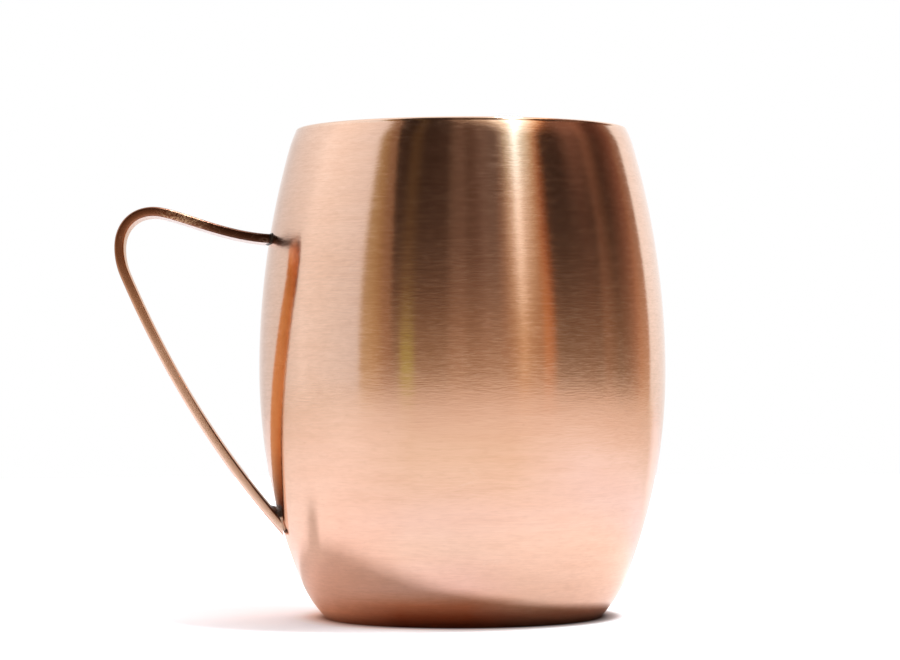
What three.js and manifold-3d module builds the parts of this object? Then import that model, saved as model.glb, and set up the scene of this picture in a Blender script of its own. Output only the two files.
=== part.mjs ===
// Barrel-shaped copper mug with a bent strap handle.
// Lengths are in millimetres and angles in degrees. The mug's axis is +Z, its foot stands at z = 0,
// and the handle reaches out along -X.

import * as THREE from 'three';
import { mergeVertices } from 'three/addons/utils/BufferGeometryUtils.js';
import Module from 'manifold-3d';

// Barrel, measured on its outer face
const mugHeight = 102;
const mouthRadius = 34.45;
const bellyRadius = 42.5;
const bellyHeight = 51.5;
const footRadius = 28.7;
const shoulderRadius = 24;
const mouthLean = 26.6;
const heelRadius = 23;
const footLean = 46;

// Wall, base and lining
const wallThickness = 0.8;
const rimTurnIn = 0.7;
const discThickness = 1;
const seamWidth = 0.8;
const seamClearance = 0.1;
const liningThickness = 0.25;
const liningClearance = 0.05;

// Handle strap
const strapWidth = 13;
const strapThickness = 1.95;
const strapEdgeRadius = 0.5;
const upperJointDrop = 23.1;
const lowerJointHeight = 19.2;
const handleStandOff = 29.75;
const crestInset = 7.1;
const crestRise = 5.65;
const hipDrop = 7.35;
const hipRadius = 14.7;
const armSlope = 3;
const legTopLean = 23;
const legEndLean = 41;

// Reach of the curves' handles, which sets how long each end of a stretch keeps its direction
const armPull = 10;
const crestPull = 4.3;
const bendPull = 4.6;
const hipPull = 4;
const legTopPull = 18.5;
const legEndPull = 22.8;

// The leg's end is hollowed to the wall and squared off at its two corners, along a plane near upright
const legTrimDepth = 0.15;
const legTrimLean = 5;

// Solder at the handle's two ends
const solderBed = 0.35;
const solderClearance = 0.1;
const upperBeadEdge = 0.15;
const upperBeadSpread = 0.3;
const upperBeadClimb = 0.75;
const lowerFilletClimb = 1.5;
const lowerFilletFullness = 0.9;
const lowerBedInset = 0.5;

// Fineness of the solids
const sectorsRound = 48;
const bellyArcSteps = 6;
const turnArcSteps = 3;
const rimArcSteps = 4;
const strapSteps = 84;
const cornerSteps = 1;
const beadSteps = 3;
const leastStep = 0.05;
const mergeDistance = 1e-4;

const radians = THREE.MathUtils.degToRad;

const copper = new THREE.MeshStandardMaterial({ color: 0xd9946c, roughness: 0.28, metalness: 1 });
const handleCopper = new THREE.MeshStandardMaterial({ color: 0xb8744f, roughness: 0.36, metalness: 1 });
const liningSteel = new THREE.MeshStandardMaterial({ color: 0xc9c7c2, roughness: 0.3, metalness: 1 });
const solder = new THREE.MeshStandardMaterial({ color: 0x6e5646, roughness: 0.5, metalness: 0.9 });

const wasm = await Module();
wasm.setup();

// Barrel profile
// Each half runs from the belly to an end in two tangent arcs: a long one, then a tighter one.
// They meet at the lean that brings the second one to the wanted radius, height and lean.

function halfProfile(endRadius, height, turnRadius, endLean) {
  const inward = bellyRadius - endRadius - turnRadius * (1 - Math.cos(endLean));
  const upward = height - turnRadius * Math.sin(endLean);
  const meetingLean = 2 * Math.atan2(inward, upward);
  const longRadius = turnRadius + upward / Math.sin(meetingLean);
  const points = [];
  for (let step = 0; step <= bellyArcSteps; step += 1) {
    const tilt = (meetingLean * step) / bellyArcSteps;
    const radius = bellyRadius - longRadius * (1 - Math.cos(tilt));
    points.push({ radius, rise: longRadius * Math.sin(tilt), tilt });
  }
  const joint = points.at(-1);
  for (let step = 1; step <= turnArcSteps; step += 1) {
    const tilt = THREE.MathUtils.lerp(meetingLean, endLean, step / turnArcSteps);
    const radius = joint.radius - turnRadius * (Math.cos(meetingLean) - Math.cos(tilt));
    const rise = joint.rise + turnRadius * (Math.sin(tilt) - Math.sin(meetingLean));
    points.push({ radius, rise, tilt });
  }
  return points;
}

function barrelProfile() {
  const lower = halfProfile(footRadius, bellyHeight, heelRadius, radians(footLean));
  const upper = halfProfile(mouthRadius, mugHeight - bellyHeight, shoulderRadius, radians(mouthLean));
  const below = lower.slice(1).reverse();
  return [
    ...below.map(({ radius, rise, tilt }) => ({ radius, z: bellyHeight - rise, tilt: -tilt })),
    ...upper.map(({ radius, rise, tilt }) => ({ radius, z: bellyHeight + rise, tilt })),
  ];
}

const barrel = barrelProfile();

// The line that lies a given depth inside the barrel's outer face, or outside it where the depth is negative.
function lineAtDepth(depth) {
  return barrel.map(
    ({ radius, z, tilt }) =>
      new THREE.Vector2(radius - depth * Math.cos(tilt), z - depth * Math.sin(tilt)),
  );
}

// The point of a line at a height, on its first or last stretch carried on where the height is past its end.
function pointAtHeight(line, height) {
  let index = line.findIndex((point) => point.y > height);
  if (index === -1) index = line.length - 1;
  if (index === 0) index = 1;
  const from = line[index - 1];
  const to = line[index];
  const share = (height - from.y) / (to.y - from.y);
  return new THREE.Vector2(THREE.MathUtils.lerp(from.x, to.x, share), height);
}

function sideBetween(depth, low, high) {
  const line = lineAtDepth(depth);
  const between = line.filter((point) => point.y > low + leastStep && point.y < high - leastStep);
  return [pointAtHeight(line, low), ...between, pointAtHeight(line, high)];
}

// Outward slope of the wall at a height, as the angle from upright: positive where it widens upwards.
function wallFlare(height) {
  const line = lineAtDepth(0);
  const above = pointAtHeight(line, height + strapThickness);
  const below = pointAtHeight(line, height - strapThickness);
  return Math.atan2(above.x - below.x, above.y - below.y);
}

function turned(points) {
  return new THREE.LatheGeometry(points, sectorsRound).rotateX(Math.PI / 2);
}

function ring(points) {
  return turned([...points, points[0].clone()]);
}

// Barrel pieces

const liningDepth = wallThickness + liningClearance;
const liningInnerDepth = liningDepth + liningThickness;
const discRadius = pointAtHeight(lineAtDepth(wallThickness), 0).x - seamWidth;

// The rim is turned in over the lining's edge and rounded over its whole width.
function wallGeometry() {
  const rimRadius = liningInnerDepth / 2;
  const rimBase = mugHeight - rimRadius;
  const outside = sideBetween(0, 0, rimBase);
  const lip = sideBetween(liningInnerDepth, mugHeight - rimTurnIn, rimBase);
  const from = outside.at(-1);
  const to = lip.at(-1);
  const crown = [];
  for (let step = 1; step < rimArcSteps; step += 1) {
    const angle = (Math.PI * step) / rimArcSteps;
    const middle = (from.x + to.x) / 2;
    const half = (from.x - to.x) / 2;
    crown.push(new THREE.Vector2(middle + half * Math.cos(angle), rimBase + rimRadius * Math.sin(angle)));
  }
  const inside = sideBetween(wallThickness, 0, mugHeight - rimTurnIn);
  return ring([...outside, ...crown, ...lip.reverse(), ...inside.reverse()]);
}

function discGeometry() {
  return turned([
    new THREE.Vector2(0, 0),
    new THREE.Vector2(discRadius, 0),
    new THREE.Vector2(discRadius, discThickness),
    new THREE.Vector2(0, discThickness),
  ]);
}

function seamGeometry() {
  const inner = discRadius + seamClearance;
  const slope = sideBetween(wallThickness + seamClearance, 0, discThickness);
  return ring([new THREE.Vector2(inner, 0), ...slope, new THREE.Vector2(inner, discThickness)]);
}

function liningGeometry() {
  const underside = discThickness + liningClearance;
  const floor = underside + liningThickness;
  const top = mugHeight - rimTurnIn - liningClearance;
  const outside = sideBetween(liningDepth, underside, top);
  const inside = sideBetween(liningInnerDepth, floor, top);
  return turned([
    new THREE.Vector2(0, underside),
    ...outside,
    ...inside.reverse(),
    new THREE.Vector2(0, floor),
  ]);
}

// Solids

function solidOf(geometry) {
  const bare = geometry.clone();
  bare.deleteAttribute('normal');
  bare.deleteAttribute('uv');
  const merged = mergeVertices(bare, mergeDistance);
  return new wasm.Manifold(
    new wasm.Mesh({
      numProp: 3,
      vertProperties: merged.attributes.position.array,
      triVerts: new Uint32Array(merged.index.array),
    }),
  );
}

function geometryOf(solid) {
  const mesh = solid.getMesh();
  return new THREE.BufferGeometry()
    .setAttribute('position', new THREE.BufferAttribute(mesh.vertProperties, 3))
    .setIndex(new THREE.BufferAttribute(mesh.triVerts, 1));
}

// The whole barrel as one body, grown outwards, which cuts whatever meets the wall.
function barrelBody(growth) {
  const side = sideBetween(-growth, 0, mugHeight);
  const points = [new THREE.Vector2(0, 0), ...side, new THREE.Vector2(0, mugHeight)];
  return solidOf(turned(points));
}

function roundedRectangle(width, height, radius) {
  const x = width / 2 - radius;
  const y = height / 2 - radius;
  const quarter = Math.PI / 2;
  const outline = new THREE.Shape();
  outline.absarc(x, y, radius, 0, quarter);
  outline.absarc(-x, y, radius, quarter, 2 * quarter);
  outline.absarc(-x, -y, radius, 2 * quarter, 3 * quarter);
  outline.absarc(x, -y, radius, 3 * quarter, 4 * quarter);
  return outline;
}

// Handle
// Its route lies in the plane of the axis and -X. Points there are written as distance from the axis and height.

const upperJointHeight = mugHeight - upperJointDrop;
const upperJoint = pointAtHeight(lineAtDepth(0), upperJointHeight);
const lowerJoint = pointAtHeight(lineAtDepth(0), lowerJointHeight);
const hipReach = bellyRadius + handleStandOff - strapThickness / 2;
const crest = new THREE.Vector2(hipReach - crestInset, upperJointHeight + crestRise);
const hip = new THREE.Vector2(hipReach, crest.y - hipDrop);

// The strap runs on into the barrel far enough for its whole width to be cut by the wall.
const endOverrun = strapWidth / 2;

// A direction that leans outwards from upright by an angle.
function leaning(angle) {
  return new THREE.Vector2(Math.sin(angle), Math.cos(angle));
}

function along(point, direction, distance) {
  return point.clone().addScaledVector(direction, distance);
}

function placed(point) {
  return new THREE.Vector3(-point.x, 0, point.y);
}

// The handle length with which a cubic curve follows an arc of a circle.
function arcPull(radius, turn) {
  return (4 / 3) * radius * Math.tan(turn / 4);
}

function strapRoute() {
  const armDirection = leaning(radians(90 - armSlope));
  const legTopDirection = leaning(radians(legTopLean));
  const legEndDirection = leaning(radians(legEndLean));
  const up = leaning(0);
  const out = leaning(radians(90));
  const turn = radians(legTopLean);
  const legTop = new THREE.Vector2(
    hip.x - hipRadius * (1 - Math.cos(turn)),
    hip.y - hipRadius * Math.sin(turn),
  );
  const turnPull = arcPull(hipRadius, turn);
  const stretches = [
    [upperJoint, along(upperJoint, armDirection, armPull), along(crest, out, -crestPull), crest],
    [crest, along(crest, out, bendPull), along(hip, up, hipPull), hip],
    [hip, along(hip, up, -turnPull), along(legTop, legTopDirection, turnPull), legTop],
    [
      legTop,
      along(legTop, legTopDirection, -legTopPull),
      along(lowerJoint, legEndDirection, legEndPull),
      lowerJoint,
    ],
  ];
  const start = along(upperJoint, armDirection, -endOverrun);
  const end = along(lowerJoint, legEndDirection, -endOverrun);
  const route = new THREE.CurvePath();
  route.add(new THREE.LineCurve3(placed(start), placed(upperJoint)));
  for (const points of stretches) {
    route.add(new THREE.CubicBezierCurve3(...points.map(placed)));
  }
  route.add(new THREE.LineCurve3(placed(lowerJoint), placed(end)));
  return route;
}

// An outline drawn in the handle's plane, made into a solid of a given width across it.
function prism(outline, width) {
  const solid = new THREE.ExtrudeGeometry(outline, {
    depth: width,
    curveSegments: beadSteps,
    bevelEnabled: false,
  });
  const out = new THREE.Vector3(-1, 0, 0);
  const up = new THREE.Vector3(0, 0, 1);
  const across = new THREE.Vector3(0, 1, 0);
  const seat = new THREE.Vector3(0, -width / 2, 0);
  solid.applyMatrix4(new THREE.Matrix4().makeBasis(out, up, across).setPosition(seat));
  return solidOf(solid);
}

// What is taken off the corners of the leg's end, all of it on the barrel's side of a plane.
function legTrim(growth) {
  const up = leaning(radians(legTrimLean));
  const inward = new THREE.Vector2(-up.y, up.x);
  const middle = along(lowerJoint, inward, legTrimDepth + growth);
  const top = along(middle, up, endOverrun);
  const bottom = along(middle, up, -endOverrun);
  const outline = new THREE.Shape();
  outline.moveTo(...top);
  outline.lineTo(...along(top, inward, endOverrun));
  outline.lineTo(...along(bottom, inward, endOverrun));
  outline.lineTo(...bottom);
  return prism(outline, 2 * strapWidth);
}

// The strap, grown on every side, with its ends cut to the wall.
function strapSolid(growth) {
  const width = strapWidth + 2 * growth;
  const thickness = strapThickness + 2 * growth;
  const section = roundedRectangle(width, thickness, strapEdgeRadius + growth);
  const swept = new THREE.ExtrudeGeometry(section, {
    steps: strapSteps,
    curveSegments: cornerSteps,
    extrudePath: strapRoute(),
  });
  return solidOf(swept).subtract(barrelBody(solderBed - growth)).subtract(legTrim(growth));
}

function strapGeometry() {
  return geometryOf(strapSolid(0));
}

// Cuts a lump of solder back to the wall and to the strap, with a clearance to both.
function fitted(lump) {
  return geometryOf(lump.subtract(barrelBody(solderClearance)).subtract(strapSolid(solderClearance)));
}

// A rounded bead all round the strap's upper end.
function upperSolderGeometry() {
  const edge = solderClearance + upperBeadEdge;
  const width = strapWidth + 2 * edge;
  const height = strapThickness + 2 * edge;
  const bead = new THREE.ExtrudeGeometry(roundedRectangle(width, height, strapEdgeRadius + edge), {
    depth: strapThickness,
    curveSegments: cornerSteps,
    bevelSize: upperBeadSpread,
    bevelThickness: upperBeadClimb,
    bevelSegments: beadSteps,
  });
  const armDirection = leaning(radians(90 - armSlope));
  const outward = new THREE.Vector3(-armDirection.x, 0, armDirection.y);
  const across = new THREE.Vector3(0, 1, 0);
  const upright = new THREE.Vector3().crossVectors(outward, across);
  const seat = placed(along(upperJoint, armDirection, -strapThickness));
  bead.applyMatrix4(new THREE.Matrix4().makeBasis(across, upright, outward).setPosition(seat));
  return fitted(solidOf(bead));
}

// A fillet in the acute corner between the leg and the wall, which runs on as a thin bed behind the leg's end
// and stops just short of its tip. Across the strap it ends where the strap's edges start to turn.
function lowerSolderGeometry() {
  const flare = wallFlare(lowerJointHeight);
  const upWall = leaning(flare);
  const inward = new THREE.Vector2(-upWall.y, upWall.x);
  const upLeg = leaning(radians(legEndLean));
  const offLeg = new THREE.Vector2(upLeg.y, -upLeg.x);
  const mitre = Math.sin(radians(legEndLean) - flare);
  const corner = along(lowerJoint, upWall, strapThickness / 2 / mitre);
  const wallTop = along(corner, upWall, lowerFilletClimb);
  const strapTop = along(corner, upLeg, lowerFilletClimb + solderBed / mitre);
  const throat = along(corner, upLeg, solderBed / mitre).add(corner).multiplyScalar(1 / 2);
  const hollow = along(throat, upWall, lowerFilletClimb * lowerFilletFullness);
  const tip = along(lowerJoint, upWall, -strapThickness / 2 / mitre);
  const bedEnd = along(tip, upLeg, lowerBedInset + solderBed / mitre);
  const outline = new THREE.Shape();
  outline.moveTo(...along(bedEnd, inward, endOverrun));
  outline.lineTo(...along(bedEnd, offLeg, -strapThickness / 2));
  outline.lineTo(...along(strapTop, offLeg, strapThickness / 2));
  outline.lineTo(...strapTop);
  outline.quadraticCurveTo(...hollow, ...wallTop);
  outline.lineTo(...along(wallTop, inward, endOverrun));
  return fitted(prism(outline, strapWidth - 2 * strapEdgeRadius));
}

// Assembly

function piece(name, geometry, material) {
  const mesh = new THREE.Mesh(geometry, material);
  mesh.name = name;
  return mesh;
}

const vessel = new THREE.Group();
vessel.add(
  piece('cup_wall', wallGeometry(), copper),
  piece('base_disc', discGeometry(), copper),
  piece('base_seam', seamGeometry(), solder),
  piece('inner_lining', liningGeometry(), liningSteel),
);

const handle = new THREE.Group();
handle.add(
  piece('handle_strap', strapGeometry(), handleCopper),
  piece('upper_joint_solder', upperSolderGeometry(), solder),
  piece('lower_joint_solder', lowerSolderGeometry(), solder),
);

const mug = new THREE.Group();
mug.add(vessel, handle);

export default mug;
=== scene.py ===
# %% [markdown]
# # A brushed copper mug
# The object is a barrel-shaped mug of thin spun copper with a pale lining. A flat strap, bent to an arm, a bend and
# a long leg, is soldered on as its handle. The solids that the frame loads give every size and place, but they are
# faceted, and a brushed metal mirror shows each facet. So every piece is made again here on the same curves, with
# a finer mesh. Lengths in the notes are in millimetres, and lengths in the code are in metres.

import math

import bmesh
import bpy
from mathutils import Matrix, Vector
from mathutils import noise as wobble


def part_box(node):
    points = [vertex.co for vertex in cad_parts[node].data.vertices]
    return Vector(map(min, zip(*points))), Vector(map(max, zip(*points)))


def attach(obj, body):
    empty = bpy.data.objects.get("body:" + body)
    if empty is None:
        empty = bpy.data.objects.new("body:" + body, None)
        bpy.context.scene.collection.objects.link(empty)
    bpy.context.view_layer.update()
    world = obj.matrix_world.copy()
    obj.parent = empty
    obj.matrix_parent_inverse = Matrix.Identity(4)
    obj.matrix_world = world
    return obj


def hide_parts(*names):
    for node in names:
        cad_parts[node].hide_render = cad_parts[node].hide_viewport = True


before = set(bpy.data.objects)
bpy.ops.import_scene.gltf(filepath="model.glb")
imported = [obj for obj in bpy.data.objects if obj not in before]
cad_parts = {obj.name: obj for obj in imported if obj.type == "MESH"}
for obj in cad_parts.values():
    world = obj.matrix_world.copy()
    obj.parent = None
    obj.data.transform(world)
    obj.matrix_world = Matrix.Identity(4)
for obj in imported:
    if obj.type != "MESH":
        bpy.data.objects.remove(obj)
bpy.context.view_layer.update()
MM = 0.001
print("pieces in the frame:", sorted(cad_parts))

# %% [markdown]
# ## The barrel's outline
# A spinner shapes the barrel over a former, so its outline is a few smooth arcs. Each half leaves the belly upright,
# follows one long arc and ends in a tighter one: the shoulder above, the heel below. The two arcs of a half share
# a tangent where they meet. The lean at which they meet follows from the sizes, so the outline needs no table of
# points, and it can be sampled as finely as a mirror needs.

# %% Outline of the barrel
mug_height = 102 * MM
mouth_radius = 34.45 * MM
belly_radius = 42.5 * MM
belly_height = 51.5 * MM
foot_radius = 28.7 * MM
shoulder_radius = 24 * MM
mouth_lean = math.radians(26.6)
heel_radius = 23 * MM
foot_lean = math.radians(46)


def half_outline(end_radius, height, turn_radius, end_lean, long_steps, turn_steps):
    """Points of one half from the belly to its end, as (radius, distance from the belly, lean)."""
    inward = belly_radius - end_radius - turn_radius * (1 - math.cos(end_lean))
    upward = height - turn_radius * math.sin(end_lean)
    meeting = 2 * math.atan2(inward, upward)
    long_radius = turn_radius + upward / math.sin(meeting)
    points = []
    for step in range(long_steps + 1):
        lean = meeting * step / long_steps
        points.append((belly_radius - long_radius * (1 - math.cos(lean)), long_radius * math.sin(lean), lean))
    radius, rise, _ = points[-1]
    for step in range(1, turn_steps + 1):
        lean = meeting + (end_lean - meeting) * step / turn_steps
        points.append((
            radius - turn_radius * (math.cos(meeting) - math.cos(lean)),
            rise + turn_radius * (math.sin(lean) - math.sin(meeting)),
            lean,
        ))
    return points


lower_half = half_outline(foot_radius, belly_height, heel_radius, foot_lean, 30, 18)
upper_half = half_outline(mouth_radius, mug_height - belly_height, shoulder_radius, mouth_lean, 34, 10)
outline = [(r, belly_height - rise, -lean) for r, rise, lean in reversed(lower_half[1:])]
outline += [(r, belly_height + rise, lean) for r, rise, lean in upper_half]
print("outline points:", len(outline), "foot radius, mm:", round(outline[0][0] / MM, 3))

# %% [markdown]
# A wall of even thickness is the same outline moved inwards, square to itself. The next helper moves it by any
# depth and cuts it off at two heights, as the wall, the lining and the seam need it.

# %% Outline at a depth in the wall
least_spacing = 0.02 * MM


def point_at(line, height):
    """The point of a line at a height, carried on straight past either end."""
    index = next((i for i, p in enumerate(line) if p[1] > height), len(line) - 1)
    low, high = line[max(index, 1) - 1], line[max(index, 1)]
    share = (height - low[1]) / (high[1] - low[1])
    return (low[0] + (high[0] - low[0]) * share, height)


def side(depth, low, high):
    """The wall's line at a depth inside its outer face, between two heights."""
    line = [(r - depth * math.cos(lean), z - depth * math.sin(lean)) for r, z, lean in outline]
    inner = [p for p in line if low + least_spacing < p[1] < high - least_spacing]
    return [point_at(line, low)] + inner + [point_at(line, high)]


print("radius at mid height, mm:", round(point_at(side(0, 0, mug_height), 51 * MM)[0] / MM, 2))

# %% [markdown]
# ## Short ways to build node trees
# The shapes are made by node trees, so one small class holds the steps that repeat: a new group with named inputs,
# a node with its inputs filled, and arithmetic. In a call an input's name is written in small letters, so Circle
# Radius becomes circle_radius.

# %% Helpers for node trees
def call_name(name):
    return name.lower().replace(" ", "_")


def colour(value):
    """The four numbers of a colour that is given as one level or as three parts."""
    return (*value, 1.0) if isinstance(value, tuple) else (value, value, value, 1.0)


class Nodes:
    """A node tree with short ways to add to it. A kind without Node in its name is a shader node's kind."""

    tree_kind = "GeometryNodeTree"

    def __init__(self, tree):
        self.tree = tree

    @classmethod
    def new_group(cls, name, inputs, outputs):
        """A group as (Nodes, its inputs, its outputs). A number makes a Float input with that value at first."""
        tree = bpy.data.node_groups.new(name, cls.tree_kind)
        for way, sockets in (("INPUT", inputs), ("OUTPUT", outputs)):
            for label, value in sockets.items():
                number = isinstance(value, float)
                socket = tree.interface.new_socket(
                    label, in_out=way, socket_type="NodeSocket" + ("Float" if number else value))
                if number:
                    socket.default_value = value
        return cls(tree), tree.nodes.new("NodeGroupInput").outputs, tree.nodes.new("NodeGroupOutput").inputs

    def put(self, value, socket):
        """Links a socket, or writes a plain value into it."""
        if isinstance(value, bpy.types.NodeSocket):
            self.tree.links.new(value, socket)
        else:
            socket.default_value = colour(value) if socket.type == "RGBA" else value

    def add(self, kind, links=None, **settings):
        """Adds a node, sets its properties, and fills the inputs that are given."""
        node = self.tree.nodes.new(kind if "Node" in kind else "ShaderNode" + kind)
        for name, value in settings.items():
            setattr(node, name, value)
        for key, value in (links or {}).items():
            self.put(value, node.inputs[key])
        return node

    def math(self, operation, *values, clamp=False):
        return self.add("Math", dict(enumerate(values)), operation=operation, use_clamp=clamp).outputs[0]

    def plus(self, first, second):
        return self.math("ADD", first, second)

    def minus(self, first, second):
        return self.math("SUBTRACT", first, second)

    def times(self, first, second):
        return self.math("MULTIPLY", first, second)

    def axes(self, vector):
        return self.add("SeparateXYZ", {"Vector": vector}).outputs

    def join(self, x, y, z=0.0):
        return self.add("CombineXYZ", {"X": x, "Y": y, "Z": z}).outputs[0]


# %% [markdown]
# ## A tree that spins an outline
# Spun ware is one outline turned about an axis, so one Geometry Nodes tree makes the wall, the lining, the base and
# its seam. The outline comes in as the object's own edges. It is swept along a circle, and the points that fall
# together, on the axis or where the circle closes, are merged. Sizes come in by name.

# %% The spinning tree
def end_tree(net, shape, given, made):
    """The end of every shape tree: instances made real, and the metal set."""
    whole = net.add("GeometryNodeRealizeInstances", {"Geometry": shape})
    coated = net.add("GeometryNodeSetMaterial", {"Geometry": whole.outputs[0], "Material": given["Metal"]})
    net.put(coated.outputs[0], made["Geometry"])
    print(net.tree.name, "nodes:", len(net.tree.nodes))
    return net.tree


net, given, made = Nodes.new_group("Spin an outline", {
    "Geometry": "Geometry", "Sectors": "Int", "Circle Radius": "Float", "Merge Distance": "Float",
    "Metal": "Material"}, {"Geometry": "Geometry"})
circle = net.add("GeometryNodeCurvePrimitiveCircle", {
    "Resolution": given["Sectors"], "Radius": given["Circle Radius"]})
flat_circle = net.add("GeometryNodeSetCurveNormal", {"Curve": circle.outputs["Curve"]}, mode="Z_UP")
section = net.add("GeometryNodeMeshToCurve", {"Mesh": given["Geometry"]})
spot = net.axes(net.add("GeometryNodeInputPosition").outputs[0])
flat = net.join(net.minus(spot["X"], given["Circle Radius"]), net.times(spot["Z"], -1.0))
laid = net.add("GeometryNodeSetPosition", {"Geometry": section.outputs["Curve"], "Position": flat})
swept = net.add("GeometryNodeCurveToMesh", {"Curve": flat_circle.outputs[0], "Profile Curve": laid.outputs[0]})
merged = net.add("GeometryNodeMergeByDistance", {
    "Geometry": swept.outputs[0], "Distance": given["Merge Distance"]})
spin_tree = end_tree(net, merged.outputs[0], given, made)

# %% [markdown]
# A modifier knows its inputs by identifiers, so a small helper looks each one up by its name. Once the tree has run,
# its result is kept as a plain mesh. Faces must point out of the metal, and corners sharper than a limit stay crisp
# while the rest is shaded smooth.

# %% From tree to plain mesh
def run_tree(piece, tree, **values):
    """Gives a piece a tree with its inputs set, and replaces the piece's mesh by the result."""
    modifier = piece.modifiers.new("shape", "NODES")
    modifier.node_group = tree
    for item in tree.interface.items_tree:
        if item.in_out == "INPUT" and call_name(item.name) in values:
            modifier[item.identifier] = values[call_name(item.name)]
    return settle(piece)


def settle(piece):
    """Applies what a piece's modifiers make, and removes them."""
    depsgraph = bpy.context.evaluated_depsgraph_get()
    mesh = bpy.data.meshes.new_from_object(piece.evaluated_get(depsgraph))
    old = piece.data
    piece.modifiers.clear()
    piece.data = mesh
    bpy.data.meshes.remove(old)
    mesh.name = piece.name
    return piece


def face_outwards(shape):
    bmesh.ops.recalc_face_normals(shape, faces=shape.faces)
    if shape.calc_volume(signed=True) < 0:
        bmesh.ops.reverse_faces(shape, faces=shape.faces)


def tidy_faces(piece, crisp_degrees=30):
    """Merges doubles, turns the faces outwards and keeps corners crisp past an angle."""
    shape = bmesh.new()
    shape.from_mesh(piece.data)
    bmesh.ops.remove_doubles(shape, verts=shape.verts, dist=1e-7)
    face_outwards(shape)
    for face in shape.faces:
        face.smooth = True
    for edge in shape.edges:
        edge.smooth = len(edge.link_faces) == 2 and edge.calc_face_angle(0) < math.radians(crisp_degrees)
    open_edges = sum(len(edge.link_faces) != 2 for edge in shape.edges)
    volume = shape.calc_volume(signed=True)
    shape.to_mesh(piece.data)
    shape.free()
    print(f"{piece.name}: {len(piece.data.polygons)} faces, {open_edges} open edges, {volume * 1e9:.1f} mm3")
    return piece


def new_object(name, data):
    """An object in the scene round a mesh, a light or a camera."""
    made_object = bpy.data.objects.new(name, data)
    bpy.context.scene.collection.objects.link(made_object)
    return made_object


def edge_object(name, points, closed):
    """An object that holds one line of edges, from points as (distance from the axis, height)."""
    mesh = bpy.data.meshes.new(name)
    count = len(points)
    edges = [(i, (i + 1) % count) for i in range(count if closed else count - 1)]
    mesh.from_pydata([(r, 0, z) for r, z in points], edges, [])
    return new_object(name, mesh)


SECTORS = 288
CIRCLE_RADIUS = 30 * MM
MERGE_DISTANCE = 0.0004 * MM


def spun(name, points, metal, closed=True, crisp_degrees=30):
    piece = edge_object(name, points, closed)
    run_tree(piece, spin_tree, sectors=SECTORS, circle_radius=CIRCLE_RADIUS, merge_distance=MERGE_DISTANCE,
             metal=metal)
    return tidy_faces(piece, crisp_degrees)

# %% [markdown]
# ## Short ways to build finishes
# A finish is a node tree as well. It varies a value by noise, carries one range over to another, and mixes colours
# by masks. Its ramps have their stops in the value's own units, which keeps them readable and easy to change.

# %% Helpers for finishes
class Finish(Nodes):
    """A shader tree, with short ways to place groups, to vary values and to mix colours."""

    tree_kind = "ShaderNodeTree"

    def group(self, tree, **values):
        """Places a group and returns its outputs."""
        node = self.add("Group", node_tree=tree)
        sockets = {call_name(socket.name): socket for socket in node.inputs}
        for name, value in values.items():
            self.put(value, sockets[name])
        return node.outputs

    def added(self, start, *parts):
        """A start value plus each part's mask times its amount."""
        for mask, amount in parts:
            start = self.math("MULTIPLY_ADD", mask, amount, start)
        return start

    def vector(self, operation, *values, out="Vector"):
        return self.add("VectorMath", dict(enumerate(values)), operation=operation).outputs[out]

    def place(self):
        """The place on the piece, in metres of the shared frame."""
        return self.add("TexCoord").outputs["Object"]

    def noise(self, vector, scale, detail, roughness=0.5, distortion=0.0):
        return self.add("TexNoise", {"Vector": vector, "Scale": scale, "Detail": detail, "Roughness": roughness,
                                     "Distortion": distortion}).outputs["Fac"]

    def remap(self, value, low, high, new_low=0.0, new_high=1.0):
        """Carries one range over to another, and holds past its ends."""
        return self.add("MapRange", {"Value": value, "From Min": low, "From Max": high, "To Min": new_low,
                                     "To Max": new_high}).outputs["Result"]

    def ramp(self, value, low, high, *stops):
        """A colour ramp. A stop is a value with a level, or with the three parts of a colour."""
        node = self.add("ValToRGB", {"Fac": self.remap(value, low, high)})
        elements = node.color_ramp.elements
        elements.remove(elements[1])
        for number, (spot, *parts) in enumerate(stops):
            share = (spot - low) / (high - low)
            element = elements.new(share) if number else elements[0]
            element.position = share
            element.color = (*(parts if len(parts) == 3 else parts * 3), 1.0)
        return node.outputs["Color"]

    def mix(self, share, first, second, blend="MIX"):
        return self.add("Mix", {0: share, 6: first, 7: second}, data_type="RGBA", blend_type=blend,
                        clamp_factor=True).outputs[2]

    def filtered(self, first, second):
        return self.mix(1.0, first, second, blend="MULTIPLY")

    def lit_by(self, first, second):
        return self.mix(1.0, first, second, blend="ADD")

    def layers(self, tone, *layers):
        """Lays colours over a tone in turn, each with its own mask."""
        for mask, layer in layers:
            tone = self.mix(mask, tone, layer)
        return tone

    def bump(self, height, strength, distance, **under):
        return self.add("Bump", {"Height": height, "Strength": strength, "Distance": distance, **under}).outputs[0]


# %% [markdown]
# ## Brushing, shared by every metal here
# Brushed metal is scored by a belt or a pad, so its scores run one way. They come in several sizes: hairlines too
# fine to see singly, streaks of them, and wide faint bands. The group takes a position whose X runs along the
# scores and whose Z runs across them. It gives one value for colour and roughness and one height for the bump.
# Groups hold only values, and each shader stays in its own material, because only then can the finish be exported.

# %% Shader group: brushing
net, given, made = Finish.new_group("Brushing", {
    "Position": "Vector", "Lines per Metre": 5000.0, "Streaks per Metre": 45.0},
    {"Lines": "Float", "Bands": "Float", "Height": "Float"})
brushing = net.tree
spot = net.axes(given["Position"])


def across_scores(line_share, streak_share, detail):
    """Noise in streaks: a share of the line count across the scores and of the streak count along them."""
    along = net.times(given["Streaks per Metre"], streak_share)
    across = net.times(given["Lines per Metre"], line_share)
    drawn = net.join(net.times(spot["X"], along), net.times(spot["Y"], along), net.times(spot["Z"], across))
    return net.noise(drawn, 1.0, detail, 0.6)


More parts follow.
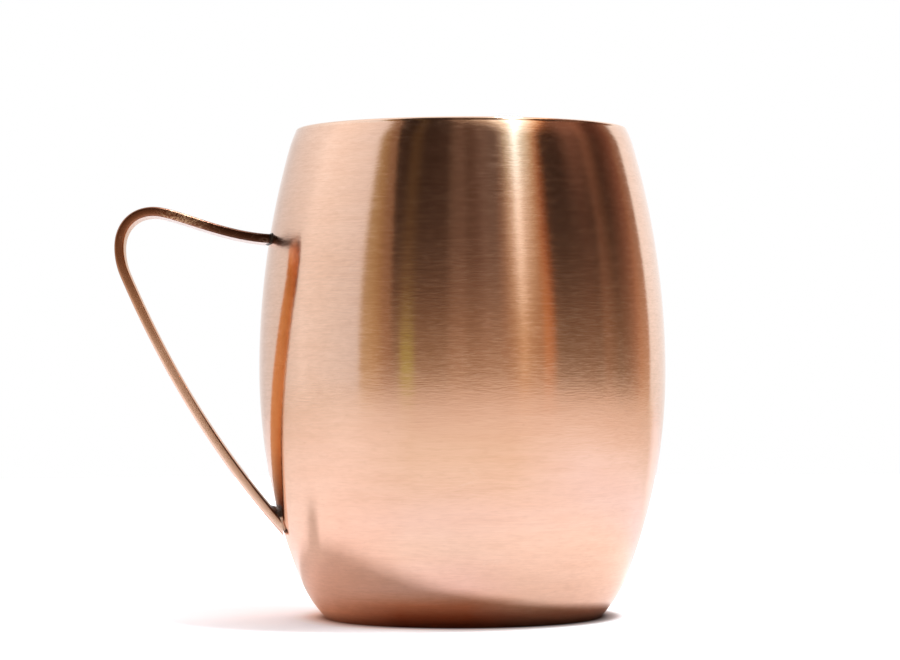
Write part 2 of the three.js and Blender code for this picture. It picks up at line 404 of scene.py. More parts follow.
hairlines = across_scores(1.0, 1.0, 2.0)
streaks = across_scores(0.3, 0.6, 2.0)
bands = across_scores(0.06, 0.4, 1.0)
fine = net.added(net.times(streaks, 0.4), (hairlines, 0.6))
net.put(fine, made["Lines"])
net.put(bands, made["Bands"])
net.put(net.added(fine, (bands, 0.1)), made["Height"])
print("brushing group nodes:", len(brushing.nodes))

# %% [markdown]
# ## Scratches
# Use leaves single scratches across the brushing, mostly short and at odd angles. Each set comes from a noise that
# is turned and then drawn out along one axis. Where that noise passes through its middle value it draws long thin
# curves, and a second, slower noise leaves only short pieces of them.

# %% Shader group: scratches
net, given, made = Finish.new_group("Scratches", {
    "Position": "Vector", "Scratches per Metre": 90.0, "Width": 0.012, "Share": 0.3}, {"Mask": "Float"})
scratches = net.tree
limit = net.minus(1.0, given["Share"])
found = 0.0
for number, turn in enumerate(((0.2, 0.1, 0.4), (-0.3, 0.8, 1.1), (0.9, -0.4, 0.3))):
    turned = net.add("Mapping", {"Vector": given["Position"], "Rotation": turn,
                                 "Location": (number * 3.1, number * 1.7, 0.0)}).outputs[0]
    drawn = net.vector("MULTIPLY", turned, (0.16, 1.0, 1.6))
    spaced = net.vector("MULTIPLY", drawn, given["Scratches per Metre"])
    gap = net.math("ABSOLUTE", net.minus(net.noise(spaced, 1.0, 1.0), 0.5))
    line = net.math("SUBTRACT", 1.0, net.math("DIVIDE", gap, given["Width"]), clamp=True)
    kept = net.remap(net.noise(turned, 160.0 + 30 * number, 1.0), limit, net.plus(limit, 0.08))
    found = net.math("MAXIMUM", found, net.times(line, kept))
net.put(found, made["Mask"])
print("scratch group nodes:", len(scratches.nodes))

# %% [markdown]
# ## Tarnish and worn edges
# Copper that is handled and washed is never one colour. It carries faint clouds, small dark specks, and bright metal
# where an edge rubs. One group gives the clouds and specks from a position, and another turns the distance to an
# edge into a broken mask.

# %% Shader groups: tarnish and edge wear
net, given, made = Finish.new_group("Tarnish", {
    "Position": "Vector", "Clouds per Metre": 35.0, "Specks per Metre": 900.0, "Speck Share": 0.25},
    {"Clouds": "Float", "Specks": "Float"})
tarnish = net.tree
net.put(net.noise(given["Position"], given["Clouds per Metre"], 4.0, 0.62, 0.4), made["Clouds"])
cells = net.add("TexVoronoi", {"Vector": given["Position"], "Scale": given["Specks per Metre"]}).outputs
chance = net.add("SeparateColor", {"Color": cells["Color"]}).outputs[0]
chosen = net.math("LESS_THAN", chance, given["Speck Share"])
net.put(net.times(chosen, net.remap(cells["Distance"], 0.12, 0.3, 1.0, 0.0)), made["Specks"])

net, given, made = Finish.new_group("Edge wear", {
    "Position": "Vector", "Distance": 1.0, "Reach": 0.001}, {"Mask": "Float"})
edge_wear = net.tree
near = net.math("SUBTRACT", 1.0, net.math("DIVIDE", given["Distance"], given["Reach"]), clamp=True)
chips = net.noise(given["Position"], 420.0, 4.0, 0.65)
broken = net.added(net.minus(net.times(near, 1.3), 0.95), (chips, 1.1))
net.put(net.remap(broken, 0.0, 0.35), made["Mask"])
print("tarnish and edge wear nodes:", len(tarnish.nodes), len(edge_wear.nodes))

# %% [markdown]
# ## Metal materials
# Every metal here is one metallic shader that gets its colour, roughness and relief from masks. The same three
# kinds of mark are on all of them, so a helper places the three groups with each metal's own counts. On spun and
# turned pieces the brushing's direction runs round the axis, which a cross product with the axis gives.

# %% Helpers for metal materials
def new_metal(name, roughness, anisotropy):
    """A material with a metallic shader. Returns the material, its Finish and its shader's inputs."""
    material = bpy.data.materials.new(name)
    material.use_nodes = True
    net = Finish(material.node_tree)
    net.name = name
    shader = net.tree.nodes["Principled BSDF"].inputs
    for label, value in (("Metallic", 1.0), ("Roughness", roughness), ("Anisotropic", anisotropy)):
        shader[label].default_value = value
    return material, net, shader


def marks(net, place, scored_place, lines, streaks, clouds, specks, speck_share, scars, scar_width, scar_share):
    """A metal's brushing, tarnish and scratches. Lines, streaks, clouds, specks and scars are counts per metre."""
    return (
        net.group(brushing, position=scored_place, lines_per_metre=lines, streaks_per_metre=streaks),
        net.group(tarnish, position=place, clouds_per_metre=clouds, specks_per_metre=specks, speck_share=speck_share),
        net.group(scratches, position=place, scratches_per_metre=scars, width=scar_width, share=scar_share)["Mask"])


def dress(net, shader, tone, rough, normal, place=None):
    """Feeds a shader. With a place, the brushing runs round the axis there."""
    for label, value in (("Base Color", tone), ("Roughness", rough), ("Normal", normal)):
        net.put(value, shader[label])
    if place is not None:
        round_the_axis = net.vector("NORMALIZE", net.vector("CROSS_PRODUCT", (0.0, 0.0, 1.0), place))
        net.put(round_the_axis, shader["Tangent"])
        shader["Anisotropic Rotation"].default_value = 0.25
    print(net.name, "nodes:", len(net.tree.nodes))


# %% [markdown]
# ## The copper of the barrel
# Spun copper is polished and then brushed round the axis. The scores spread a reflection up and down but keep it
# sharp from side to side, so upright bands of light and dark stand out. The shader does this with anisotropy along
# the meridian. Fine brushing adds hairlines and a coarser one a grain that can be seen. The other groups add clouds,
# specks, scratches and a worn rim, and the heel, which slides over tables, is burnished smoother.

# %% Barrel copper
barrel_copper, net, shader = new_metal("brushed_barrel_copper", 0.13, 0.82)
place = net.place()
score, stain, scar = marks(net, place, place, lines=8000.0, streaks=140.0, clouds=26.0, specks=1100.0,
                           speck_share=0.03, scars=260.0, scar_width=0.01, scar_share=0.36)
grain = net.group(brushing, position=place, lines_per_metre=3000.0, streaks_per_metre=480.0)
height = net.axes(place)["Z"]
to_edge = net.math("MINIMUM", net.minus(mug_height, height), net.plus(height, 0.1 * MM))
worn = net.group(edge_wear, position=place, distance=to_edge, reach=1.3 * MM)["Mask"]
tone = net.mix(net.remap(stain["Clouds"], 0.3, 0.7), (0.95, 0.645, 0.49), (0.90, 0.58, 0.425))
tone = net.layers(
    tone,
    (net.remap(score["Bands"], 0.35, 0.65, 0.0, 0.4), (0.97, 0.67, 0.52)),
    (net.remap(score["Lines"], 0.35, 0.62, 0.13, 0.0), (0.55, 0.28, 0.17)),
    (net.remap(grain["Lines"], 0.35, 0.6, 0.16, 0.0), (0.50, 0.25, 0.15)),
    (net.times(stain["Specks"], 0.1), (0.35, 0.17, 0.10)),
    (net.times(scar, 0.2), (1.0, 0.78, 0.64)),
    (net.times(worn, 0.5), (1.0, 0.76, 0.60)))
rough = net.added(net.remap(score["Lines"], 0.3, 0.7, 0.105, 0.145),
                  (stain["Clouds"], 0.02), (scar, 0.03), (stain["Specks"], 0.05))
rough = net.plus(rough, net.remap(grain["Lines"], 0.48, 0.72, 0.0, 0.06))
burnished = net.remap(height, 6 * MM, 20 * MM, 0.35, 1.0)
rough = net.times(rough, burnished)
coarse = net.bump(grain["Height"], 0.4, 0.045 * MM)
relief = net.bump(net.added(score["Height"], (scar, -0.06)), 0.35, 0.01 * MM, Normal=coarse)
dress(net, shader, tone, rough, relief, place)

# %% [markdown]
# ## The barrel's wall
# The wall is one closed outline: the outer face, a rim rolled over the lining's edge, the inner face, and the foot.
# Its lower outer corner gets a small rounding, as a polished edge has.

# %% Wall
wall_thickness = 0.8 * MM
lining_thickness = 0.25 * MM
fit_gap = 0.05 * MM
lining_depth = wall_thickness + fit_gap
lining_inner_depth = lining_depth + lining_thickness
rim_turn_in = 0.7 * MM
foot_rounding = 0.22 * MM
rim_steps = 16


def bent(start, pull, end, steps, first=0):
    """Points of a curve that leaves its start towards the pull and reaches its end from there."""
    shares = [step / steps for step in range(first, steps)]
    return [tuple((1 - t) ** 2 * a + 2 * t * (1 - t) * b + t * t * c for a, b, c in zip(start, pull, end))
            for t in shares]


def wall_outline():
    rim_radius = lining_inner_depth / 2
    rim_base = mug_height - rim_radius
    outside = side(0, foot_rounding, rim_base)
    lip = side(lining_inner_depth, mug_height - rim_turn_in, rim_base)
    start, end = outside[-1], lip[-1]
    middle, half = (start[0] + end[0]) / 2, (start[0] - end[0]) / 2
    crown = []
    for step in range(1, rim_steps):
        angle = math.pi * step / rim_steps
        crown.append((middle + half * math.cos(angle), rim_base + rim_radius * math.sin(angle)))
    inside = side(wall_thickness, 0, mug_height - rim_turn_in)
    corner = (point_at(side(0, 0, rim_base), 0)[0], 0)
    turn = bent((corner[0] - foot_rounding, 0), corner, outside[0], 5)
    return turn + outside + crown + lip[::-1] + inside[::-1]


barrel_wall = spun("barrel_wall", wall_outline(), barrel_copper)

# %% [markdown]
# ## The lining
# A mule mug is lined so that the sour drink never touches copper. The lining is thin pale metal, spun to the same
# curve, and its floor meets its side in a small fillet. It is brushed round the axis as well, more softly. A slanted
# height is given to the brushing, so that the scores go on over the level floor.

# %% Lining metal
lining_metal, net, shader = new_metal("spun_lining_metal", 0.34, 0.6)
place = net.place()
spot = net.axes(place)
from_axis = net.vector("LENGTH", net.join(spot["X"], spot["Y"]), out="Value")
slanted = net.join(spot["X"], spot["Y"], net.added(spot["Z"], (from_axis, 0.7)))
score, stain, scar = marks(net, place, slanted, lines=4200.0, streaks=30.0, clouds=40.0, specks=500.0,
                           speck_share=0.05, scars=200.0, scar_width=0.012, scar_share=0.36)
tone = net.mix(net.remap(stain["Clouds"], 0.3, 0.7), (0.70, 0.69, 0.665), (0.60, 0.585, 0.56))
tone = net.layers(
    tone,
    (net.remap(score["Lines"], 0.35, 0.62, 0.25, 0.0), (0.40, 0.38, 0.36)),
    (net.times(scar, 0.4), (0.86, 0.85, 0.83)),
    (net.times(stain["Specks"], 0.4), (0.25, 0.23, 0.21)))
rough = net.added(net.remap(score["Lines"], 0.3, 0.7, 0.29, 0.42), (scar, 0.08))
dress(net, shader, tone, rough, net.bump(score["Height"], 0.4, 0.01 * MM), place)

# %% [markdown]
# The lining's outline starts in the middle of its underside, goes up its outer face, turns at the rim, comes down
# its inner face and runs over the fillet to the middle again. A hair of air is left between it and the wall.

# %% Lining
disc_thickness = 1 * MM
floor_fillet = 4 * MM
fillet_flatness = 1.2
floor_rings = 8


def lining_outline():
    underside = disc_thickness + fit_gap
    floor_top = underside + lining_thickness
    top = mug_height - rim_turn_in - fit_gap
    outside = side(lining_depth, underside, top)
    corner = side(lining_inner_depth, floor_top, top)[0]
    inside = side(lining_inner_depth, floor_top + floor_fillet, top)
    low = (corner[0] - floor_fillet * fillet_flatness, floor_top)
    turn = bent(inside[0], corner, low, 12, first=1)
    rings = [(low[0] * (1 - step / floor_rings), floor_top) for step in range(floor_rings)]
    rings_below = [(outside[0][0] * step / floor_rings, underside) for step in range(1, floor_rings)]
    return [(0, underside)] + rings_below + outside + inside[::-1] + turn + rings + [(0, floor_top)]


lining = spun("lining", lining_outline(), lining_metal, closed=False)

# %% [markdown]
# ## The foot
# A flat copper disc closes the foot, and a ring of solder joins it to the wall. Both lie flush with the foot, so
# the mug stands flat. The disc is turned on a lathe, so its scores are circles, and the brushing group is given the
# distance from the axis instead of the height.

# %% Disc copper
seam_width = 0.8 * MM
disc_radius = side(wall_thickness, 0, mug_height)[0][0] - seam_width
worn_radius = 26.83 * MM
disc_copper, net, shader = new_metal("turned_disc_copper", 0.34, 0.5)
place = net.place()
spot = net.axes(place)
from_axis = net.vector("LENGTH", place, out="Value")
turned = net.join(spot["X"], spot["Y"], from_axis)
score, stain, scar = marks(net, place, turned, lines=3600.0, streaks=40.0, clouds=70.0, specks=600.0,
                           speck_share=0.12, scars=300.0, scar_width=0.02, scar_share=0.45)
worn = net.group(edge_wear, position=place, distance=net.minus(worn_radius, from_axis), reach=5 * MM)["Mask"]
tone = net.mix(net.remap(stain["Clouds"], 0.3, 0.7), (0.90, 0.56, 0.40), (0.72, 0.40, 0.27))
tone = net.layers(
    tone,
    (net.remap(score["Lines"], 0.35, 0.62, 0.3, 0.0), (0.45, 0.22, 0.13)),
    (net.times(stain["Specks"], 0.6), (0.25, 0.12, 0.08)),
    (net.times(worn, 0.35), (1.0, 0.74, 0.58)),
    (net.times(scar, 0.5), (1.0, 0.76, 0.62)))
rough = net.added(net.remap(score["Lines"], 0.3, 0.7, 0.3, 0.44), (stain["Clouds"], 0.1))
dress(net, shader, tone, rough, net.bump(net.added(score["Height"], (scar, -0.6)), 0.5, 0.015 * MM), place)

# %% [markdown]
# ## Solder
# Hard solder flows under a torch and is left grey-brown by its flux and soot, a little lumpy. Only at the lower end
# of the handle was a short stretch of it filed clean, so a ramp over the height leaves bright metal there.

# %% Solder
joint_solder, net, shader = new_metal("flowed_solder", 0.38, 0.0)
place = net.place()
stain = net.group(tarnish, position=place, clouds_per_metre=600.0, specks_per_metre=2500.0, speck_share=0.3)
lumps = net.noise(place, 900.0, 3.0, 0.6)
height_in_mm = net.times(net.axes(place)["Z"], 1 / MM)
filed = net.ramp(height_in_mm, 0.0, 30.0, (18.3, 0.0), (18.7, 1.0), (21.0, 1.0), (21.4, 0.0))
tone = net.mix(net.remap(stain["Clouds"], 0.35, 0.65), (0.02, 0.013, 0.010), (0.07, 0.05, 0.04))
tone = net.layers(tone, (filed, (0.86, 0.66, 0.52)), (net.times(stain["Specks"], 0.7), (0.07, 0.045, 0.035)))
rough = net.remap(stain["Clouds"], 0.3, 0.7, 0.5, 0.26)
dress(net, shader, tone, rough, net.bump(lumps, 0.6, 0.12 * MM))

# %% [markdown]
# The disc has rings of faces from its middle to its edge, so its turned surface shades evenly. The solder has sunk a
# little between the disc and the wall, as it does when it sets.

# %% Disc and seam
disc_steps = 12
disc_radii = [disc_radius * step / disc_steps for step in range(disc_steps + 1)]
disc_points = [(radius, 0) for radius in disc_radii] + [(radius, disc_thickness) for radius in disc_radii[::-1]]
foot_disc = spun("foot_disc", disc_points, disc_copper, closed=False)
skin = 0.02 * MM
sunk = 0.12 * MM
shoulder = 0.2 * MM
seam_inner = disc_radius + skin
seam_slope = side(wall_thickness + skin, 0, disc_thickness)
seam_outer = seam_slope[0][0]
seam_points = [(seam_inner, skin), (seam_inner + shoulder, sunk), ((seam_inner + seam_outer) / 2, 1.4 * sunk),
               (seam_outer - shoulder, sunk), (seam_outer, skin)]
seam_points += seam_slope[1:] + [(seam_inner, disc_thickness)]
foot_seam = spun("foot_seam", seam_points, joint_solder, crisp_degrees=60)
print("disc radius, mm:", round(disc_radius / MM, 3))

# %% [markdown]
# ## The handle's route
# The handle is one flat strap. It leaves the barrel almost level, turns down in a bend, and runs as a long, slightly
# curved leg back to the foot. Its middle line lies in one upright plane and is made of four cubic stretches. They
# are written as (distance from the axis, height), and the handle points towards -X.

# %% Route of the strap
strap_width = 13 * MM
strap_thickness = 1.95 * MM
strap_edge_radius = 0.5 * MM
upper_joint_height = mug_height - 23.1 * MM
lower_joint_height = 19.2 * MM
hip_reach = belly_radius + 29.75 * MM - strap_thickness / 2
crest_inset = 7.1 * MM
crest_rise = 5.65 * MM
hip_drop = 7.35 * MM
hip_radius = 14.7 * MM
arm_slope = math.radians(3)
leg_top_lean = math.radians(23)
leg_end_lean = math.radians(41)
arm_pull, crest_pull, bend_pull, hip_pull, leg_top_pull, leg_end_pull = (
    length * MM for length in (10, 4.3, 4.6, 4, 18.5, 22.8))
overrun = strap_width / 2


def leaning(angle):
    return Vector((math.sin(angle), math.cos(angle)))


def strap_route():
    """The middle line of the strap, with straight runs into the barrel at both ends."""
    face = side(0, 0, mug_height)
    upper = Vector(point_at(face, upper_joint_height))
    lower = Vector(point_at(face, lower_joint_height))
    crest = Vector((hip_reach - crest_inset, upper_joint_height + crest_rise))
    hip = Vector((hip_reach, crest.y - hip_drop))
    arm, leg_top_way, leg_end_way = leaning(math.pi / 2 - arm_slope), leaning(leg_top_lean), leaning(leg_end_lean)
    up, out = leaning(0), leaning(math.pi / 2)
    leg_top = hip - Vector((hip_radius * (1 - math.cos(leg_top_lean)), hip_radius * math.sin(leg_top_lean)))
    turn_pull = 4 / 3 * hip_radius * math.tan(leg_top_lean / 4)
    stretches = (
        (upper, upper + arm * arm_pull, crest - out * crest_pull, crest, 44),
        (crest, crest + out * bend_pull, hip + up * hip_pull, hip, 44),
        (hip, hip - up * turn_pull, leg_top + leg_top_way * turn_pull, leg_top, 20),
        (leg_top, leg_top - leg_top_way * leg_top_pull, lower + leg_end_way * leg_end_pull, lower, 60),
    )
    route = [upper - arm * overrun]
    for a, b, c, d, steps in stretches:
        for step in range(steps):
            t = step / steps
            route.append(a * (1 - t) ** 3 + b * 3 * t * (1 - t) ** 2 + c * 3 * t * t * (1 - t) + d * t ** 3)
    return route + [lower, lower - leg_end_way * overrun], upper, lower


route, upper_joint, lower_joint = strap_route()
print("route length, mm:", round(sum((b - a).length for a, b in zip(route, route[1:])) / MM, 1))

# %% [markdown]
# ## A tree that sweeps the strap
# Strap stock is one rounded section bent along its route, so a second tree sweeps a rounded rectangle along the
# object's own line of edges. Width, thickness and edge radius are inputs. The line lies in one plane, so its minimum
# twist normals stay square to that plane, and the section never turns over.

# %% The sweeping tree
net, given, made = Nodes.new_group("Sweep a strap", {
    "Geometry": "Geometry", "Width": "Float", "Thickness": "Float", "Edge Radius": "Float", "Edge Steps": "Int",
    "Metal": "Material"}, {"Geometry": "Geometry"})
path = net.add("GeometryNodeMeshToCurve", {"Mesh": given["Geometry"]})
rectangle = net.add("GeometryNodeCurvePrimitiveQuadrilateral", {
    "Width": given["Width"], "Height": given["Thickness"]}, mode="RECTANGLE")
rounded = net.add("GeometryNodeFilletCurve", {
    "Curve": rectangle.outputs[0], "Radius": given["Edge Radius"], "Count": given["Edge Steps"]}, mode="POLY")
swept = net.add("GeometryNodeCurveToMesh", {
    "Curve": path.outputs[0], "Profile Curve": rounded.outputs[0], "Fill Caps": True})
sweep_tree = end_tree(net, swept.outputs[0], given, made)

# %% [markdown]
# ## The copper of the strap
# The strap is the same copper, but it was heated at its joints and is handled all the time. It is browner and duller
# on the arm, cleaner down the leg, scored lengthwise, and bright on its corners. The material reads two attributes
# that the strap's mesh carries: the place in the strap (along it, through it, across it), and the distance to the
# nearest edge. So a mark stays where it is when the route is bent another way.

# %% Strap copper
strap_copper, net, shader = new_metal("handled_strap_copper", 0.27, 0.35)
place = net.place()
strap_place = net.add("Attribute", attribute_name="strap_place").outputs["Vector"]
along, through, across = net.axes(strap_place)
edge_distance = net.add("Attribute", attribute_name="edge_distance").outputs["Fac"]
score, stain, scar = marks(net, place, strap_place, lines=4200.0, streaks=60.0, clouds=75.0, specks=800.0,
                           speck_share=0.1, scars=330.0, scar_width=0.02, scar_share=0.46)
worn = net.group(edge_wear, position=place, distance=edge_distance, reach=0.35 * MM)["Mask"]
mm_along = net.times(along, 1 / MM)
cloudy_along = net.added(mm_along, (stain["Clouds"], 8.0))
tone = net.ramp(cloudy_along, 0.0, 130.0, (12, 0.045, 0.017, 0.010), (21, 0.075, 0.030, 0.018),
                (28, 0.24, 0.10, 0.06), (48, 0.35, 0.15, 0.08), (60, 0.70, 0.42, 0.28), (70, 0.93, 0.66, 0.52),
                (118, 1.0, 0.77, 0.65))
faded = net.remap(stain["Clouds"], 0.35, 0.7, 0.0, 0.15)
tone = net.mix(faded, tone, (0.80, 0.47, 0.32), blend="MULTIPLY")
print("strap copper nodes so far:", len(net.tree.nodes))

# %% [markdown]
# Near the crest small flecks are rubbed bright, most of all on the strap's two sides. The inner face carries a
# painted
# reflection on the copper: pale under the arm, where it faces the floor, and deep orange down the leg, where it faces
# the barrel. Painted shade darkens it towards the lower joint, where it runs into the sharp corner with the wall, and
# a painted shade line follows the rounded edge along the lower leg. Each is a mask over the place in the strap, and
# the layers are laid in the order in which they came about on the mug.

# %% Rubbed flecks, painted reflection and painted shade on the inner face
flecks = net.group(scratches, position=place, scratches_per_metre=1500.0, width=0.035, share=0.5)["Mask"]
rub_zone = net.times(net.remap(mm_along, 19.0, 22.0), net.remap(mm_along, 27.0, 31.0, 1.0, 0.0))
off_middle = net.math("ABSOLUTE", across)
rub_zone = net.times(rub_zone, net.remap(off_middle, 6.1 * MM, 6.35 * MM, 0.4, 1.0))
rub = net.times(flecks, rub_zone)
inner_face = net.remap(through, -0.84 * MM, -0.96 * MM)
# Painted reflection on the inner face: pale under the arm, where it faces the floor, deep orange down the leg, where
# it faces the copper barrel.
inner_face_painted_reflection = net.ramp(cloudy_along, 0.0, 130.0, (32, 0.96, 0.84, 0.80), (44, 0.66, 0.30, 0.085),
                      (97, 0.68, 0.30, 0.085))
# Painted shade: the inner face darkens towards the sharp corner at the lower joint.
painted_corner_shade = net.times(inner_face, net.remap(cloudy_along, 97.0, 110.0))
# Painted shade line on the rounded edge along the lower leg.
rounded_edge = net.minus(net.remap(through, -0.55 * MM, -0.70 * MM), inner_face)
painted_edge_shade = net.math("MAXIMUM", net.times(rounded_edge, net.remap(mm_along, 72.0, 86.0)), 0.0)
tone = net.layers(
    tone,
    (rub, (1.0, 0.74, 0.50)),
    (net.times(inner_face, 0.92), inner_face_painted_reflection),
    (net.times(painted_corner_shade, 0.9), (0.15, 0.075, 0.045)),
    (painted_edge_shade, (0.10, 0.045, 0.03)),
    (net.remap(score["Lines"], 0.35, 0.62, 0.12, 0.0), (0.42, 0.21, 0.12)),
    (net.times(stain["Specks"], 0.15), (0.22, 0.12, 0.08)),
    (net.times(scar, 0.08), (1.0, 0.80, 0.66)),
    (net.times(worn, 0.25), (1.0, 0.77, 0.62)))
rough = net.added(net.remap(score["Lines"], 0.3, 0.7, 0.2, 0.28), (stain["Clouds"], 0.08), (rub, 0.3), (scar, 0.08))
dress(net, shader, tone, rough, net.bump(net.added(score["Height"], (scar, -0.25)), 0.5, 0.012 * MM))

# %% [markdown]
# ## Bodies through sections, and cuts
# Solder and plain blocks have no outline to spin or sweep. They are drawn as sections with equally many points, and
# faces join each section to the next. Exact boolean modifiers then trim a piece as a file would.

# %% Helpers for lofts and cuts
def in_plane(point, y=0.0):
    """A point of the handle's plane as a place in the scene."""
    return Vector((-point[0], y, point[1]))


def lofted(name, loops, metal, ring=False):
    """A closed body through loops of equally many points: a ring of them, or a row with both ends filled."""
    shape = bmesh.new()
    rows = [[shape.verts.new(p) for p in loop] for loop in loops]
    count = len(rows[0])
    for low, high in zip(rows, rows[1:] + rows[:ring]):
        for i in range(count):
            shape.faces.new((low[i], low[(i + 1) % count], high[(i + 1) % count], high[i]))
    if not ring:
        for row in (rows[0], rows[-1]):
            shape.faces.new(row)
    face_outwards(shape)
    mesh = bpy.data.meshes.new(name)
    shape.to_mesh(mesh)
    shape.free()
    mesh.materials.append(metal)
    return new_object(name, mesh)


def cut(piece, *cutters):
    for cutter in cutters:
        modifier = piece.modifiers.new("cut", "BOOLEAN")
        modifier.operation = "DIFFERENCE"
        modifier.solver = "EXACT"
        modifier.object = cutter
    settle(piece)

# %% [markdown]
# ## Strap
# The swept strap runs into the barrel at both ends. As a maker files the ends to the wall, two cutters trim them:
# the whole barrel, grown by the thickness of the solder, and a block that squares the mitred lower end.

# %% Cutters and the strap
solder_bed = 0.35 * MM
cutter_overshoot = 2 * MM
leg_trim_lean = math.radians(5)
leg_trim_inset = 0.15 * MM


def barrel_cutter(name, growth, metal):
    face = side(-growth, -cutter_overshoot, mug_height + cutter_overshoot)
    return spun(name, [(0, face[0][1])] + face + [(0, face[-1][1])], metal, closed=False)


def trim_block(name, metal):
    """A block on the barrel's side of a plane that squares the end of the leg."""
    up = leaning(leg_trim_lean)
    inward = Vector((-up.y, up.x))
    middle = lower_joint + inward * leg_trim_inset
    corners = (middle + up * overrun, middle + up * overrun + inward * overrun,
               middle - up * overrun + inward * overrun, middle - up * overrun)
    return lofted(name, [[in_plane(c, y) for c in corners] for y in (-strap_width, strap_width)], metal)


bed_cutter = barrel_cutter("bed_cutter", solder_bed, strap_copper)
leg_cutter = trim_block("leg_cutter", strap_copper)
strap = edge_object("strap", [(-p.x, p.y) for p in route], closed=False)
run_tree(strap, sweep_tree, width=strap_width, thickness=strap_thickness, edge_radius=strap_edge_radius,
         edge_steps=5, metal=strap_copper)
tidy_faces(strap)
cut(strap, bed_cutter, leg_cutter)
tidy_faces(strap, crisp_degrees=35)

# %% [markdown]
# The strap's material needs to know where on the strap it is. Each vertex takes the nearest point of the route. The
# length of route up to there, and the offset from it, become the attributes.

# %% Attributes of the strap
def mark_strap(piece):
    lengths = [0.0]
    for a, b in zip(route, route[1:]):
        lengths.append(lengths[-1] + (b - a).length)
    places, distances = [], []
    for vertex in piece.data.vertices:
        spot = Vector((-vertex.co.x, vertex.co.z))
        best = None
        for a, b, start in zip(route, route[1:], lengths):
            way = b - a
            share = min(max((spot - a).dot(way) / way.length_squared, 0.0), 1.0)
            gap = (spot - a - way * share).length
            if best is None or gap < best[0]:
                offset = (way.x * (spot - a).y - way.y * (spot - a).x) / way.length
                best = (gap, start + way.length * share, offset)
        across = vertex.co.y
        places += [best[1], best[2], across]
        distances.append(max(0.0, strap_width / 2 - abs(across)) + max(0.0, strap_thickness / 2 - abs(best[2])))
    place = piece.data.attributes.new("strap_place", "FLOAT_VECTOR", "POINT")
    place.data.foreach_set("vector", places)
    distance = piece.data.attributes.new("edge_distance", "FLOAT", "POINT")
    distance.data.foreach_set("value", distances)
    print("strap vertices marked:", len(distances), "longest place, mm:", round(max(places[::3]) / MM, 1))


mark_strap(strap)

# %% [markdown]
# ## Solder at the joints
# Molten solder wets both metals and sets in a hollow curve between them. The upper joint has a thin bead all round
# the strap. It is a ring of sections that start wide at the wall and thin out along the strap, with a little noise
# so that no two places are alike. Each section starts where the barrel's face is, and that is found by halving.

# %% Upper bead
bead_spread = 0.3 * MM
bead_climb = 0.75 * MM
bead_profile = (
    (-0.5, 1.0), (0.0, 1.0), (0.12, 0.62), (0.27, 0.38), (0.45, 0.2), (0.65, 0.09), (0.85, 0.025), (1.0, 0.0),
    (1.0, -0.12), (-0.5, -0.12))
bead_depth = 0.4 * MM
bead_lump = 1.3 * MM
section_spacing = 0.4 * MM
barrel_face = side(0, 0, mug_height)


def section_outline():
    """The strap's section as (across, upwards, outward direction), sampled evenly."""
    radius = strap_edge_radius
    half_x, half_y = strap_width / 2 - radius, strap_thickness / 2 - radius
    corners = ((half_x, half_y), (-half_x, half_y), (-half_x, -half_y), (half_x, -half_y))
    points = []
    for quarter, (x, y) in enumerate(corners):
        for step in range(9):
            angle = (quarter + step / 8) * math.pi / 2
            points.append((x, y, math.cos(angle), math.sin(angle)))
        next_x, next_y = corners[(quarter + 1) % 4]
        cuts = max(2, int(math.hypot(next_x - x, next_y - y) / section_spacing))
        angle = (quarter + 1) * math.pi / 2
        for step in range(1, cuts):
            t = step / cuts
            points.append((x + (next_x - x) * t, y + (next_y - y) * t, math.cos(angle), math.sin(angle)))
    return [(x + nx * radius, y + ny * radius, nx, ny) for x, y, nx, ny in points]


def wall_reach(start, way, across):
    """How far to go from a point of the handle's plane, at an offset across it, to meet the barrel."""
    low, high = -12 * MM, 12 * MM
    for _ in range(40):
        middle = (low + high) / 2
        spot = start + way * middle
        if math.hypot(spot.x, across) > point_at(barrel_face, spot.y)[0]:
            high = middle
        else:
            low = middle
    return low


def upper_bead():
    arm = leaning(math.pi / 2 - arm_slope)
    rise = Vector((-arm.y, arm.x))
    sections = []
    for x, y, nx, ny in section_outline():
        start = upper_joint + rise * y
        reach = wall_reach(start, arm, x)
        spot = Vector((x, y, 0)) / bead_lump
        spread = bead_spread * (1 + 0.35 * wobble.noise(spot))
        climb = bead_climb * (0.85 + 0.4 * wobble.noise(spot + Vector((7, 3, 1))))
        loop = []
        for share, width in bead_profile:
            lift = spread * width if width > 0 else bead_depth * width
            near = start + rise * ny * lift + arm * (reach + climb * share)
            loop.append(in_plane(near, x + nx * lift))
        sections.append(loop)
    return sections


upper_solder = tidy_faces(lofted("upper_solder", upper_bead(), joint_solder, ring=True), crisp_degrees=60)

# %% [markdown]
# The lower joint has a fillet in the sharp corner above the leg's end, and a thin bed behind the mitred end. Its
# sections run across the strap, and the barrel's face, a hair smaller, trims them to the wall.

# %% Lower fillet
fillet_climb = 1.5 * MM
fillet_lump = 1.1 * MM
bed_overlap = 0.5 * MM
fillet_stations = 56


